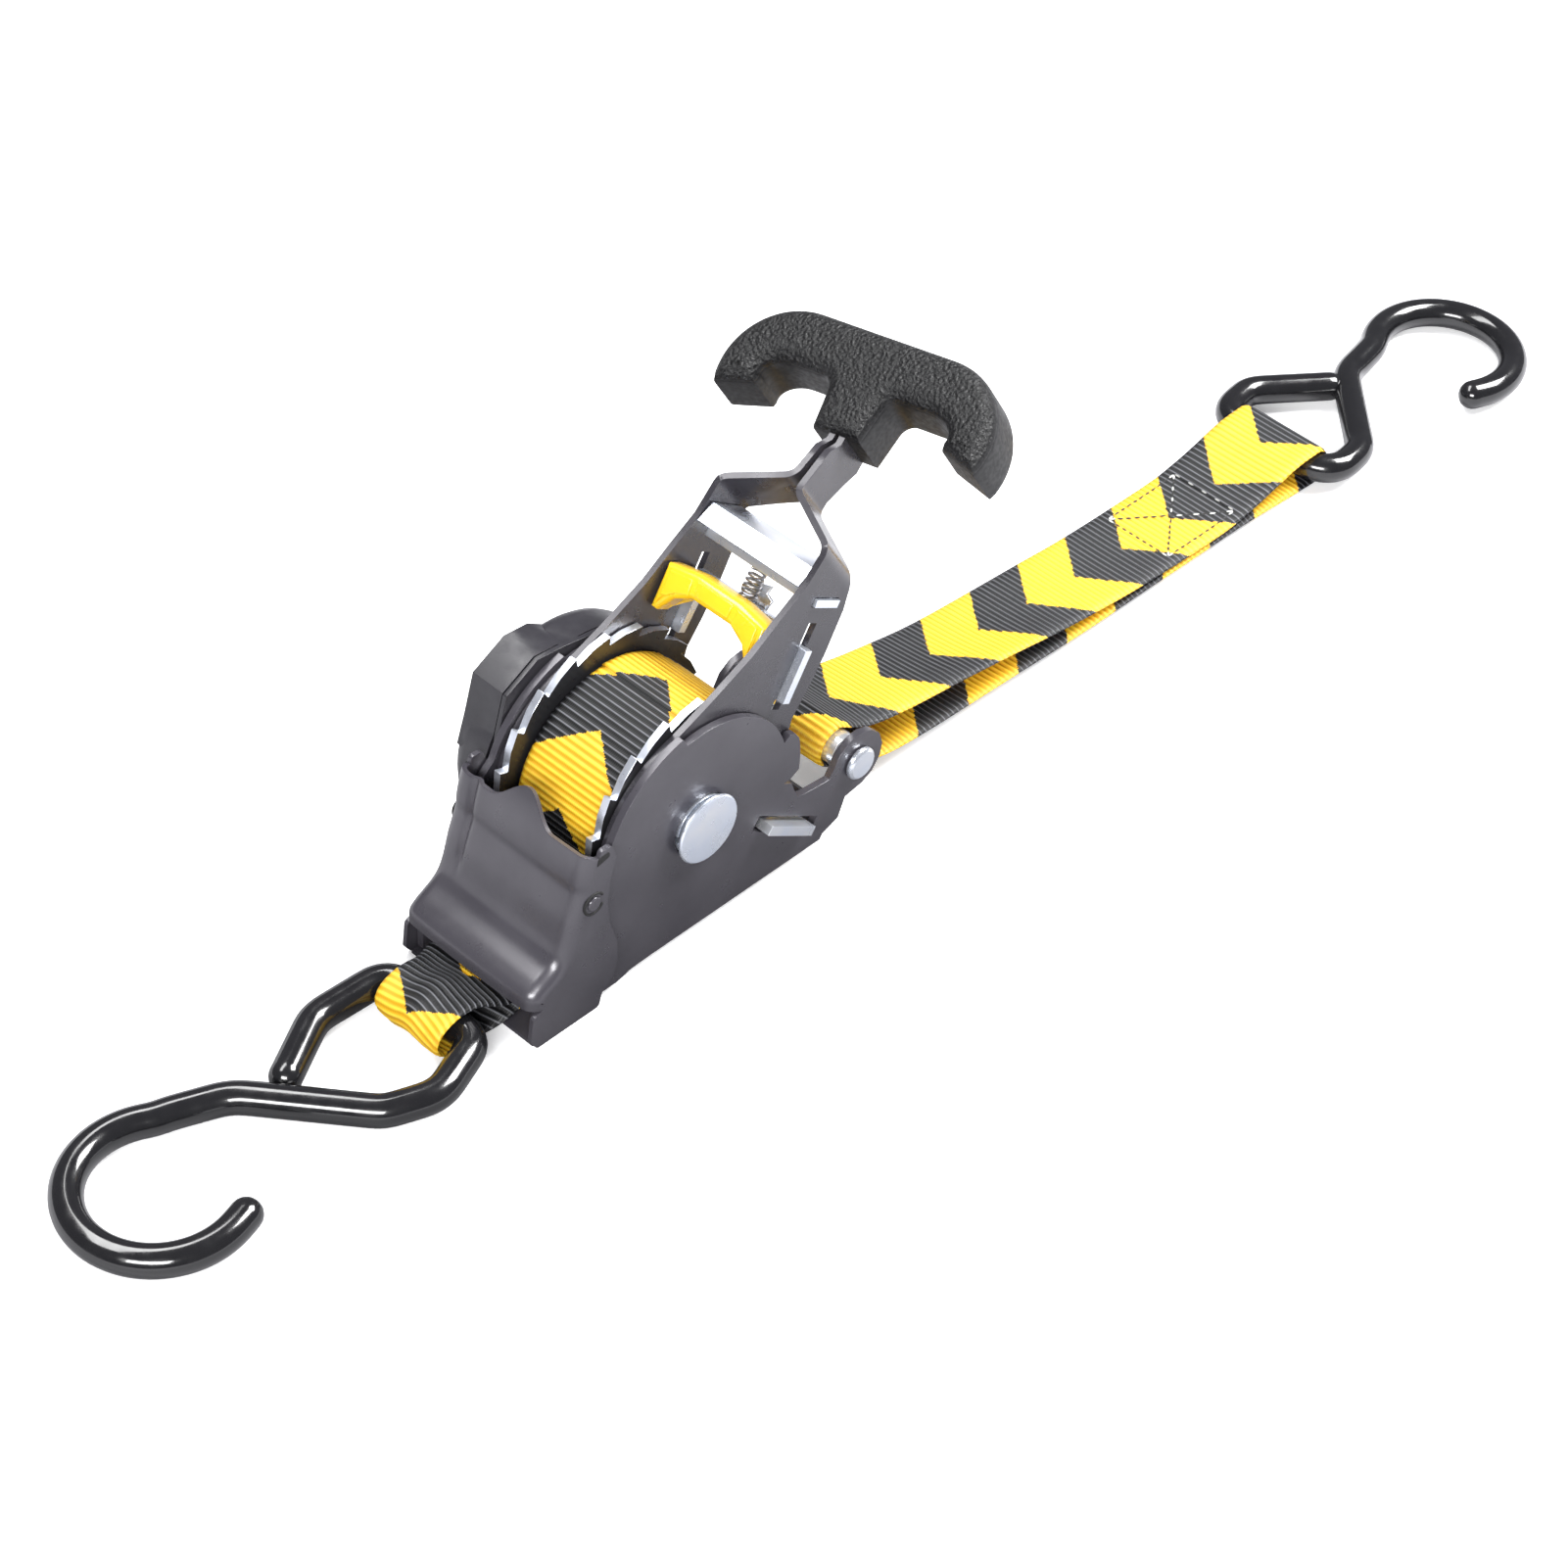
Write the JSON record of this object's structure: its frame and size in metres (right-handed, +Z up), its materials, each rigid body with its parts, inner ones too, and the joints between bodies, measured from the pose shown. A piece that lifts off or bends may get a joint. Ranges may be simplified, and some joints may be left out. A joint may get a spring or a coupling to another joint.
{
  "type": "ratchet strap",
  "caption": "Self-retracting ratchet tie-down strap with a T-handle, a wound webbing drum and S-hooks on a short fixed strap and a pull-out strap.",
  "frame": {"origin": "on the ground plane straight under the drum axle, midway between the two side plates", "axes": "+Z up, +X along the ratchet from the nose towards the fixed rear strap, Y along the drum axle with -Y the side without the retract spring housing"},
  "size_m": [0.4637, 0.0689, 0.108],
  "materials": {
    "grey_paint": "satin",
    "zinc_plate": "bright zinc",
    "webbing": "ribbed polyester",
    "black_vinyl": "glossy dip coat",
    "black_rubber": "matt, pebbled",
    "dark_plastic": "satin",
    "yellow_plastic": "glossy",
    "spring_steel": "bright"
  },
  "bodies": {
    "frame": {"side_plate_near": "grey_paint", "side_plate_far": "grey_paint", "nose_cover": "grey_paint", "nose_rivet_near_upper": "grey_paint", "nose_rivet_near_lower": "grey_paint", "nose_rivet_far_upper": "grey_paint", "nose_rivet_far_lower": "grey_paint", "webbing_guide_pin": "zinc_plate", "rear_pin": "zinc_plate", "rear_spacer_tube": "zinc_plate", "pawl_spring_seat": "grey_paint", "base_pawl_spring": "spring_steel", "spring_housing": "dark_plastic", "housing_backplate": "dark_plastic", "power_spring": "spring_steel", "housing_screw_1": "zinc_plate", "housing_screw_2": "zinc_plate", "housing_screw_3": "zinc_plate"},
    "drum": {"axle_half_upper": "zinc_plate", "axle_half_lower": "zinc_plate", "axle_head": "zinc_plate", "ratchet_wheel_near": "zinc_plate", "ratchet_wheel_far": "zinc_plate", "wound_webbing": "webbing", "spring_arbor": "dark_plastic"},
    "handle": {"handle_arm_near": "grey_paint", "handle_arm_far": "grey_paint", "retainer_bar": "zinc_plate", "handle_grip": "black_rubber", "handle_pawl_spring": "spring_steel"},
    "handle_pawl": {"handle_pawl": "zinc_plate", "trigger": "yellow_plastic"},
    "base_pawl": {"base_pawl": "zinc_plate"},
    "lead": {"front_webbing": "webbing"},
    "front_hook": {"front_hook": "black_vinyl"},
    "rear_strap": {"rear_webbing": "webbing"},
    "rear_hook": {"rear_hook": "black_vinyl"}
  },
  "joints": [
    {"name": "drum_spin", "type": "hinge", "parent": "frame", "child": "drum", "pos_m": [0, 0, 0.033], "axis": [0, 1, 0], "range_deg": [0, 360]},
    {"name": "webbing_payout", "type": "slide", "parent": "frame", "child": "lead", "axis": [-1, 0, 0], "range_m": [0, 0.1603]},
    {"name": "handle_swing", "type": "hinge", "parent": "frame", "child": "handle", "pos_m": [0, 0, 0.033], "axis": [0, -1, 0], "range_deg": [-44, 75.79]},
    {"name": "handle_pawl_slide", "type": "slide", "parent": "handle", "child": "handle_pawl", "axis": [-0.5, 0, -0.866], "range_m": [-0.0026, 0.0015], "stiffness_N_per_m": 300, "springref_m": 0.001, "deforming": ["handle_pawl_spring"]},
    {"name": "base_pawl_slide", "type": "slide", "parent": "frame", "child": "base_pawl", "axis": [0.8387, 0, -0.5446], "range_m": [-0.0017, 0.0016], "stiffness_N_per_m": 300, "springref_m": -0.001, "deforming": ["base_pawl_spring"]},
    {"name": "front_hook_swing", "type": "hinge", "parent": "lead", "child": "front_hook", "pos_m": [-0.0605, 0, 0.0055], "axis": [0, 1, 0], "range_deg": [0, 90]},
    {"name": "rear_strap_swing", "type": "hinge", "parent": "frame", "child": "rear_strap", "pos_m": [0.0495, 0, 0.02], "axis": [0, -1, 0], "range_deg": [0, 35]},
    {"name": "rear_hook_swing", "type": "hinge", "parent": "rear_strap", "child": "rear_hook", "pos_m": [0.2225, 0, 0.0055], "axis": [0, -1, 0], "range_deg": [0, 90]}
  ],
  "couplings": [
    {"joint": "webbing_payout", "follows": "drum_spin", "m_per_rad": 0.0255}
  ]
}
